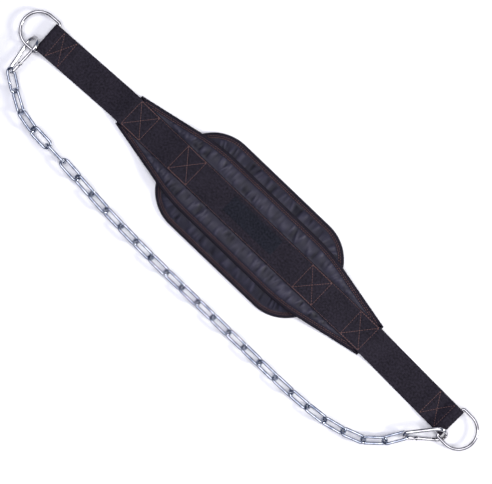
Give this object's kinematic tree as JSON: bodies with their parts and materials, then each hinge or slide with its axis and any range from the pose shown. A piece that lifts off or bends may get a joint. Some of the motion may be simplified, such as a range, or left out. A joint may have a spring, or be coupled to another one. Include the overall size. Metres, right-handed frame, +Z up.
{
  "type": "dip belt",
  "caption": "Padded weightlifting dip belt laid flat, with a lumbar pad, webbing strap, D rings, snap hooks and a long-link steel chain.",
  "frame": {"origin": "middle of the back pad's underside, which lies on the table", "axes": "+X along the belt towards its right ring, +Y away from the chain, +Z up off the table"},
  "size_m": [0.9301, 0.2285, 0.028],
  "materials": {
    "nylon_webbing": "woven, matt",
    "panel_cloth": "satin",
    "pad_cloth": "satin",
    "binding_tape": "woven, matt",
    "nickel_steel": "polished",
    "zinc_steel": "bright, bluish"
  },
  "bodies": {
    "belt": {"back_pad": "pad_cloth", "back_pad_binding": "binding_tape", "front_panel": "panel_cloth", "front_panel_binding": "binding_tape", "webbing_strap": "nylon_webbing", "d_ring_left": "nickel_steel", "snap_hook_left": "nickel_steel", "gate_rivet_left": "nickel_steel", "d_ring_right": "nickel_steel", "snap_hook_right": "nickel_steel", "gate_rivet_right": "nickel_steel", "chain_link_01": "zinc_steel", "chain_link_02": "zinc_steel", "chain_link_03": "zinc_steel", "chain_link_04": "zinc_steel", "chain_link_05": "zinc_steel", "chain_link_06": "zinc_steel", "chain_link_07": "zinc_steel", "chain_link_08": "zinc_steel", "chain_link_09": "zinc_steel", "chain_link_10": "zinc_steel", "chain_link_11": "zinc_steel", "chain_link_12": "zinc_steel", "chain_link_13": "zinc_steel", "chain_link_14": "zinc_steel", "chain_link_15": "zinc_steel", "chain_link_16": "zinc_steel", "chain_link_17": "zinc_steel", "chain_link_18": "zinc_steel", "chain_link_19": "zinc_steel", "chain_link_20": "zinc_steel", "chain_link_21": "zinc_steel", "chain_link_22": "zinc_steel", "chain_link_23": "zinc_steel", "chain_link_24": "zinc_steel", "chain_link_25": "zinc_steel", "chain_link_26": "zinc_steel"},
    "gate_left": {"snap_hook_gate_left": "nickel_steel"},
    "gate_right": {"snap_hook_gate_right": "nickel_steel"}
  },
  "joints": [
    {"name": "gate_left_hinge", "type": "hinge", "parent": "belt", "child": "gate_left", "pos_m": [-0.41471, -0.06241, 0.02141], "axis": [-0.795, -0.0762, 0.6018], "range_deg": [0, 24], "stiffness_Nm_per_rad": 0.05, "springref_deg": -17.19},
    {"name": "gate_right_hinge", "type": "hinge", "parent": "belt", "child": "gate_right", "pos_m": [0.40192, -0.05775, 0.00648], "axis": [0.5322, -0.5432, 0.6494], "range_deg": [0, 24], "stiffness_Nm_per_rad": 0.05, "springref_deg": -17.19}
  ]
}
